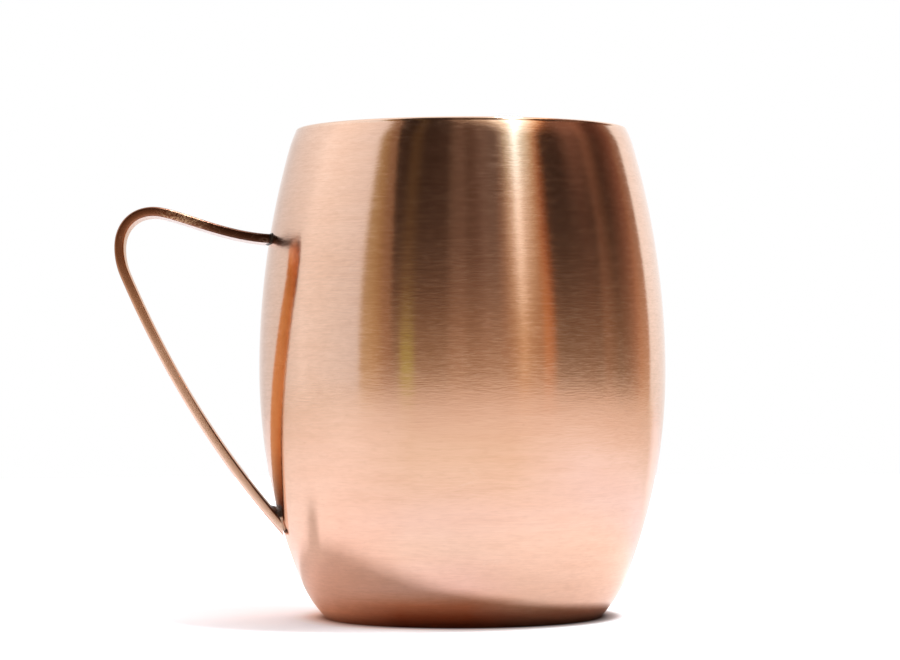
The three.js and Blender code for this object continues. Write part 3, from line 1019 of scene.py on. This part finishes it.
def lower_fillet():
    flare_high = Vector(point_at(barrel_face, lower_joint_height + strap_thickness))
    flare_low = Vector(point_at(barrel_face, lower_joint_height - strap_thickness))
    up_wall = (flare_high - flare_low).normalized()
    inward = Vector((-up_wall.y, up_wall.x))
    up_leg = leaning(leg_end_lean)
    off_leg = Vector((up_leg.y, -up_leg.x))
    mitre = abs(up_leg.x * up_wall.y - up_leg.y * up_wall.x)
    half = strap_thickness / 2
    corner = lower_joint + up_wall * (half / mitre)
    loops = []
    for station in range(fillet_stations + 1):
        share = 2 * station / fillet_stations - 1
        y = share * (strap_width / 2 - strap_edge_radius)
        spot = Vector((y / fillet_lump, 2.3, 0))
        climb = fillet_climb * (1 + 0.3 * wobble.noise(spot)) * (1 - 0.25 * abs(share) ** 8)
        lift = 1 + 0.25 * wobble.noise(spot + Vector((4, 4, 4)))
        wall_top = corner + up_wall * climb
        strap_top = corner + up_leg * (climb + solder_bed / mitre)
        throat = (corner + up_leg * (solder_bed / mitre) + corner) / 2
        hollow = throat + up_wall * (climb * 0.9 / lift)
        tip = lower_joint - up_wall * (half / mitre)
        bed_end = tip + up_leg * (bed_overlap + solder_bed / mitre)
        loop = [bed_end + inward * overrun, bed_end - off_leg * half, strap_top + off_leg * half, strap_top]
        for step in range(1, 8):
            t = step / 8
            loop.append(strap_top * (1 - t) ** 2 + hollow * 2 * t * (1 - t) + wall_top * t * t)
        loop += [wall_top, wall_top + inward * overrun]
        loops.append([in_plane(p, y) for p in loop])
    return loops


face_cutter = barrel_cutter("face_cutter", -fit_gap, joint_solder)
lower_solder = lofted("lower_solder", lower_fillet(), joint_solder)
cut(lower_solder, face_cutter)
tidy_faces(lower_solder, crisp_degrees=40)
for cutter in (bed_cutter, leg_cutter, face_cutter):
    bpy.data.objects.remove(cutter)

# %% [markdown]
# ## Pieces on the frame
# Every piece rides on the one body and stands for the solid of the same part.

# %% Ride and replace
for piece, node, finish in (
    (barrel_wall, "cup_wall", "brushed_copper"),
    (lining, "inner_lining", "lining_metal"),
    (foot_disc, "base_disc", "brushed_copper"),
    (foot_seam, "base_seam", "joint_solder"),
    (strap, "handle_strap", "strap_copper"),
    (upper_solder, "upper_joint_solder", "joint_solder"),
    (lower_solder, "lower_joint_solder", "joint_solder"),
):
    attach(piece, "root")
    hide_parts(node)
    low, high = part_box(node)
    own = [piece.matrix_world @ Vector(corner) for corner in piece.bound_box]
    gap = max(max(abs(min(p[i] for p in own) - low[i]), abs(max(p[i] for p in own) - high[i])) for i in range(3))
    print(f"{piece.name} stands for {node}, boxes differ by {gap / MM:.2f} mm at most")

# %% [markdown]
# ## Floor
# A mirror shows its surroundings, so the floor and the room are part of the finish. The floor is white paper with
# painted light in its colour. Painted shade makes it darker and warmer further off. Near the mug it carries a painted
# contact shadow and a painted orange glow of the copper, which differ in front, on the left, on the right and behind,
# as the real glow and shadow fall differently there. Seen by the camera it is lifted to white, less so near the foot
# and in the shadow on the left.

# %% Floor
floor_radius = 0.8
floor_points = 96
floor_corners = [(floor_radius * math.cos(math.tau * i / floor_points),
                  floor_radius * math.sin(math.tau * i / floor_points), 0) for i in range(floor_points)]
floor_mesh = bpy.data.meshes.new("floor")
floor_mesh.from_pydata(floor_corners, [], [tuple(range(floor_points))])
floor = new_object("floor", floor_mesh)
floor_finish = bpy.data.materials.new("white_floor")
floor_finish.use_nodes = True
net = Finish(floor_finish.node_tree)
shader = net.tree.nodes["Principled BSDF"].inputs
place = net.place()
spot = net.axes(place)
from_middle = net.vector("LENGTH", place, out="Value")
to_one_side = net.math("DIVIDE", spot["X"], from_middle)
to_the_back = net.math("DIVIDE", spot["Y"], from_middle)
# Painted light in the floor's colour: painted shade that darkens and warms it further off, a painted contact shadow
# at the foot, and a painted orange glow of the copper near it.
front_paper_and_painted_light = net.ramp(
    from_middle, 0.0, floor_radius, (0.0288, 0.12, 0.04, 0.025), (0.0315, 0.50, 0.22, 0.13),
    (0.034, 0.76, 0.43, 0.29), (0.037, 0.90, 0.74, 0.68), (0.041, 0.96, 0.90, 0.96), (0.058, 0.96, 0.99, 1.0),
    (0.075, 0.92, 0.92, 0.98), (0.1, 0.83, 0.80, 0.75), (0.15, 0.76, 0.72, 0.635), (0.26, 0.71, 0.635, 0.57),
    (0.4, 0.65, 0.56, 0.485), (0.75, 0.70, 0.585, 0.445))
left_paper_and_painted_light = net.ramp(
    from_middle, 0.0, floor_radius, (0.0285, 0.30, 0.12, 0.07), (0.031, 0.84, 0.56, 0.42),
    (0.036, 0.97, 0.82, 0.78), (0.05, 0.98, 0.86, 0.86), (0.065, 0.95, 0.89, 0.90), (0.1, 0.87, 0.85, 0.86),
    (0.3, 0.82, 0.79, 0.75), (0.75, 0.81, 0.77, 0.70))
right_paper_and_painted_light = net.ramp(
    from_middle, 0.0, floor_radius, (0.0293, 0.05, 0.02, 0.012), (0.0308, 0.32, 0.16, 0.11),
    (0.0322, 0.98, 0.92, 0.92), (0.034, 1.0), (0.065, 1.0), (0.1, 0.86, 0.87, 0.95), (0.3, 0.80, 0.78, 0.80),
    (0.75, 0.80, 0.77, 0.74))
behind = net.times(net.remap(to_the_back, 0.58, 0.72), net.remap(from_middle, 0.08, 0.2))
left_side = net.remap(to_one_side, -0.5, -0.95)
right_far = net.times(net.remap(to_one_side, 0.35, 0.9), net.remap(from_middle, 0.13, 0.26, 1.0, 0.0))
right_near = net.times(net.remap(to_one_side, -0.05, 0.4), net.remap(from_middle, 0.05, 0.09, 1.0, 0.0))
# The paper's colour with its painted shadow and painted glow, laid side by side.
paper_and_painted_light = net.layers(front_paper_and_painted_light, (left_side, left_paper_and_painted_light), (net.math("MAXIMUM", right_far, right_near), right_paper_and_painted_light),
                   (behind, (0.90, 0.88, 0.89)))
whitening = net.ramp(
    from_middle, 0.0, 0.2, (0.029, 0.0), (0.031, 0.16, 0.17, 0.18), (0.034, 0.44, 0.47, 0.49),
    (0.038, 0.55, 0.57, 0.60), (0.046, 0.66, 0.64, 0.64), (0.06, 0.80, 0.79, 0.79), (0.08, 1.0))
shaded = net.times(net.remap(to_one_side, -0.4, -0.8), net.remap(from_middle, 0.06, 0.1, 1.0, 0.0))
whitening = net.mix(shaded, whitening, (0.42, 0.47, 0.51), blend="MULTIPLY")
for label, value in (("Base Color", paper_and_painted_light), ("Roughness", 0.9), ("Specular IOR Level", 0.0),
                     ("Emission Color", whitening),
                     ("Emission Strength", net.add("LightPath").outputs["Is Camera Ray"])):
    net.put(value, shader[label])
floor_mesh.materials.append(floor_finish)
print("floor finish nodes:", len(net.tree.nodes))

# %% [markdown]
# ## Directions in the room
# The room has no walls as objects. Its light is written over two angles, the azimuth, counted from the camera
# towards the right, and the elevation. The barrel bulges, so a straight upright edge in the room shows as a curve in
# it. High up, the lamp and the right wall are turned back by a small slope, which straightens their reflections.

# %% Directions in the room
camera_turn = math.radians(-4)
toward_camera = (math.sin(camera_turn), -math.cos(camera_turn), 0.0)
to_the_right = (math.cos(camera_turn), math.sin(camera_turn), 0.0)
lamp_middle = 34.5
room = bpy.data.worlds.new("room")
bpy.context.scene.world = room
room.use_nodes = True
room.node_tree.nodes.clear()
net = Finish(room.node_tree)
way = net.add("TexCoord").outputs["Generated"]
forward = net.vector("DOT_PRODUCT", way, toward_camera, out="Value")
sideways = net.vector("DOT_PRODUCT", way, to_the_right, out="Value")
azimuth = net.times(net.math("ARCTAN2", sideways, forward), 180 / math.pi)
elevation = net.times(net.math("ARCSINE", net.axes(way)["Z"]), 180 / math.pi)
high_up = net.math("MAXIMUM", net.minus(elevation, 20.0), 0.0)
lamp_azimuth = net.minus(net.added(azimuth, (high_up, -0.275)), net.remap(elevation, 37.0, 50.0, 0.0, 5.0))
narrower = net.remap(elevation, 36.0, 57.0, 1.0, 0.18)
lamp_azimuth = net.math("MULTIPLY_ADD", net.minus(lamp_azimuth, lamp_middle), narrower, lamp_middle)
right_azimuth = net.minus(net.added(azimuth, (high_up, -0.13)), net.remap(elevation, 9.0, 16.0, 0.0, 3.0))
print("nodes for the directions:", len(net.tree.nodes))

# %% [markdown]
# ## The dark room in front
# In front the room is dark brown and lightens towards the floor. Faint upright stripes stand in it, with a paler
# arch, a haze high on the right, and one yellow-green thing low on the left. Straight overhead it is bright.

# %% The dark room in front
front = net.ramp(
    elevation, -90, 90, (-12, 0.80, 0.74, 0.66), (-4, 0.46, 0.38, 0.28), (0, 0.34, 0.235, 0.145),
    (3, 0.27, 0.17, 0.105), (6, 0.22, 0.14, 0.087), (11, 0.12, 0.075, 0.050), (19, 0.057, 0.037, 0.026),
    (32, 0.036, 0.022, 0.015), (60, 0.032, 0.020, 0.013), (74, 0.6), (90, 1.0))
left_stripes = net.ramp(
    azimuth, -60, 30, (-38, 0.0), (-32, 0.045, 0.028, 0.008), (-25, 0.0), (-10, 0.01, 0.006, 0.004),
    (-5, 0.08, 0.055, 0.04), (1, 0.09, 0.06, 0.045), (4, 0.05, 0.03, 0.02), (9, 0.06, 0.035, 0.025),
    (14, 0.1, 0.07, 0.055), (20, 0.09, 0.065, 0.05), (24, 0.06, 0.04, 0.03), (29.5, 0.0))
right_stripes = net.ramp(
    right_azimuth, 30, 130, (60, 0.0), (72, 0.010, 0.005, 0.004), (78, 0.02, 0.008, 0.006),
    (84, 0.008, 0.003, 0.002), (89, 0.08, 0.04, 0.025), (94, 0.045, 0.02, 0.01), (100, 0.005, 0.0, 0.0),
    (109, 0.06, 0.02, 0.012), (116, 0.11, 0.035, 0.02), (121, 0.20, 0.09, 0.05), (126, 0.22, 0.13, 0.09))
right_dimming = net.ramp(azimuth, 30, 130, (46, 1.0), (60, 0.76), (108, 0.70), (118, 1.0))
arch_side = net.ramp(azimuth, 40, 90, (46, 0.0), (54, 0.14, 0.055, 0.025), (70, 0.15, 0.06, 0.03), (78, 0.0))
arch_height = net.ramp(elevation, 20, 60, (34, 0.0), (41, 1.0))
haze_side = net.ramp(azimuth, 40, 130, (70, 0.0), (79, 0.12, 0.065, 0.045), (86, 0.14, 0.075, 0.052),
                     (97, 0.13, 0.065, 0.045), (106, 0.05, 0.02, 0.012), (116, 0.0))
haze_height = net.ramp(elevation, 10, 60, (18, 0.0), (22, 0.3), (27, 0.7), (31, 1.0), (36, 1.5))
front = net.filtered(front, right_dimming)
front = net.mix(arch_height, front, net.lit_by(front, arch_side))
for glow in (net.filtered(haze_side, haze_height), left_stripes, right_stripes):
    front = net.lit_by(front, glow)
yellow_side = net.ramp(azimuth, -45, -20, (-36, 0.0), (-33.2, 1.0), (-28.5, 1.0), (-25.5, 0.0))
yellow_height = net.ramp(elevation, -10, 25, (-8, 0.0), (-3, 0.9), (1, 0.9), (4, 0.35), (8, 0.06), (11, 0.0))
front = net.mix(net.filtered(yellow_side, yellow_height), front, (0.47, 0.48, 0.12))
print("nodes with the dark room:", len(net.tree.nodes))

# %% [markdown]
# ## Lamp and curtain
# One tall narrow lamp stands to the right of the camera. It is brightest high up and orange on its far side. A
# brown curtain hangs at the dark room's left end and also glows a little in the light from in front.

# %% Lamp and curtain
lamp_side = net.ramp(
    lamp_azimuth, 15, 60, (20, 0.0), (24.5, 0.14, 0.08, 0.05), (27, 0.31, 0.22, 0.14), (29.4, 0.5, 0.38, 0.28),
    (32, 0.76, 0.68, 0.58), (33.8, 1.06, 1.04, 0.98), (36.0, 1.0, 0.94, 0.85), (38.6, 0.66, 0.56, 0.45),
    (41.7, 0.54, 0.42, 0.3), (46, 0.38, 0.22, 0.11), (49.3, 0.26, 0.09, 0.03), (52, 0.1, 0.02, 0.0), (55, 0.0))
lamp_height = net.ramp(
    elevation, 0, 90, (0, 0.08, 0.05, 0.02), (6, 0.13, 0.10, 0.06), (12, 0.25, 0.23, 0.20), (18, 0.333),
    (26, 0.36, 0.37, 0.38), (30, 0.38, 0.47, 0.52), (34, 0.43, 0.66, 0.78), (42, 0.60, 0.80, 1.0),
    (50, 0.85, 1.15, 1.35), (60, 1.0, 1.2, 1.3), (66, 0.0))
lamp_brightness = 3.0
orange = net.ramp(azimuth, 40, 60, (45, 0.0), (48, 0.2, 0.07, 0.0), (51.5, 0.2, 0.06, 0.0), (55, 0.0))
low_down = net.ramp(elevation, -20, 30, (-6, 0.0), (0, 1.0), (7, 1.0), (20, 0.0))
front = net.lit_by(front, net.filtered(net.filtered(lamp_side, lamp_height), lamp_brightness))
front = net.mix(low_down, front, net.lit_by(front, orange))
curtain_azimuth = net.added(azimuth, (elevation, 0.15), (high_up, 0.15))
curtain = net.ramp(curtain_azimuth, -70, -30, (-57, 0.42, 0.34, 0.2), (-51, 0.39, 0.29, 0.15),
                   (-47.3, 0.32, 0.215, 0.10), (-43, 0.24, 0.145, 0.085))
curtain = net.lit_by(curtain, net.filtered(front, 0.42))
front = net.mix(net.ramp(curtain_azimuth, -70, -30, (-40.5, 1.0), (-37.5, 0.0)), front, curtain)
print("nodes with the lamp:", len(net.tree.nodes))

# %% [markdown]
# ## White walls
# White walls stand on the left, behind and on the right, and give the barrel its pale sides. The left one is uneven,
# as a lit wall is, and brighter higher up. The right one's corner leans, so its edge follows the barrel's outline.

# %% White walls
left_wall = net.ramp(
    azimuth, -180, -50, (-180, 1.0), (-168, 0.88, 0.88, 0.89), (-152, 0.77, 0.77, 0.78), (-128, 0.82, 0.82, 0.83),
    (-112, 0.88, 0.88, 0.89), (-103, 0.97, 0.97, 0.98), (-90, 0.91, 0.90, 0.90), (-78, 0.85, 0.85, 0.86),
    (-64, 0.77, 0.77, 0.79))
left_wall = net.mix(net.remap(elevation, 10.0, 24.0), left_wall, net.filtered(left_wall, 1.16))
right_wall = net.ramp(elevation, -20, 20, (-8, 0.90, 0.88, 0.87), (-3, 0.93, 0.92, 0.91), (2, 0.98),
                      (8, 1.03, 1.04, 1.05))
corner_azimuth = net.minus(right_azimuth, net.remap(elevation, 26.0, 8.0, 0.6, 5.2))
left_share = net.ramp(azimuth, -180, 180, (-61, 1.0), (-57.5, 0.0))
right_share = net.ramp(corner_azimuth, -180, 180, (125.2, 0.0), (128.0, 1.0))
surroundings = net.layers(front, (left_share, left_wall), (right_share, right_wall))
print("nodes with the walls:", len(net.tree.nodes))

# %% [markdown]
# ## What the camera sees and what the metal sees
# The camera sees a plain white background of strength 1. The metal sees the room. Matt things, which here means the
# floor, get a warmer light from it, weaker from the front and stronger from the two sides, so that the shadow of
# the overhead lamp stays as clear as in the picture.

# %% What the camera sees and what the metal sees
rays = net.add("LightPath").outputs
matt = rays["Is Diffuse Ray"]
surroundings = net.mix(matt, surroundings, net.filtered(surroundings, (1.0, 0.95, 0.92)))
held_back = net.added(-0.65, (left_share, 1.02), (right_share, 1.15))
strength = net.math("MULTIPLY_ADD", matt, held_back, 1.0)
lit = net.add("Background", {"Color": surroundings, "Strength": strength})
seen = net.add("Background", {"Color": 1.0, "Strength": 1.0})
chosen = net.add("MixShader", {0: rays["Is Camera Ray"], 1: lit.outputs[0], 2: seen.outputs[0]})
net.add("OutputWorld", {"Surface": chosen.outputs[0]})
print("room nodes:", len(net.tree.nodes))

# %% [markdown]
# ## Overhead lamp
# A soft round lamp hangs above the mug, to the right and a little in front. It gives the shadow on the floor at the
# left of the foot, and the camera doesn't see it.

# %% Overhead lamp
lamp_way = Vector((0.30, -0.08, 1.0)).normalized()
lamp_target = Vector((0, 0, 50 * MM))
lamp_distance = 1.2
overhead = bpy.data.lights.new("overhead", "AREA")
overhead.shape = "DISK"
overhead.size = 0.17
overhead.energy = 9.5
overhead.color = (0.98, 1.0, 1.09)
overhead_lamp = new_object("overhead", overhead)
overhead_lamp.location = lamp_target + lamp_way * lamp_distance
overhead_lamp.rotation_euler = lamp_way.to_track_quat("Z", "Y").to_euler()
overhead_lamp.visible_camera = False
print("overhead lamp at, mm:", [round(v / MM) for v in overhead_lamp.location])

# %% [markdown]
# ## Camera
# The picture was taken from just above the mug's middle height, about 0.64 m away, with a long lens. The mug's
# middle stands a little right of the centre of the frame.

# %% Camera
camera_distance = 637.9 * MM
camera_height = 52.85 * MM
lens_pixels = 3042.3
frame_width = 900
axis_column = 462.13
sensor_width = 36.0
pitch = 0.0111
roll = math.radians(-0.25)
camera_data = bpy.data.cameras.new("camera")
camera_data.sensor_width = sensor_width
camera_data.lens = lens_pixels / frame_width * sensor_width
camera_data.clip_start = 0.01
camera = new_object("camera", camera_data)
camera.location = Vector(toward_camera) * camera_distance + Vector((0, 0, camera_height))
yaw = math.atan2(axis_column - frame_width / 2, lens_pixels)
ahead = Matrix.Rotation(yaw, 3, "Z") @ -Vector(toward_camera)
look = (ahead * math.cos(pitch) + Vector((0, 0, math.sin(pitch)))).normalized()
facing = look.to_track_quat("-Z", "Y").to_matrix().to_4x4()
camera.matrix_world = Matrix.Translation(camera.location) @ facing @ Matrix.Rotation(roll, 4, "Z")
bpy.context.scene.camera = camera
bpy.context.scene.view_settings.view_transform = "Standard"
print("lens, mm:", round(camera_data.lens, 1), "camera at, mm:", [round(v / MM, 1) for v in camera.location])
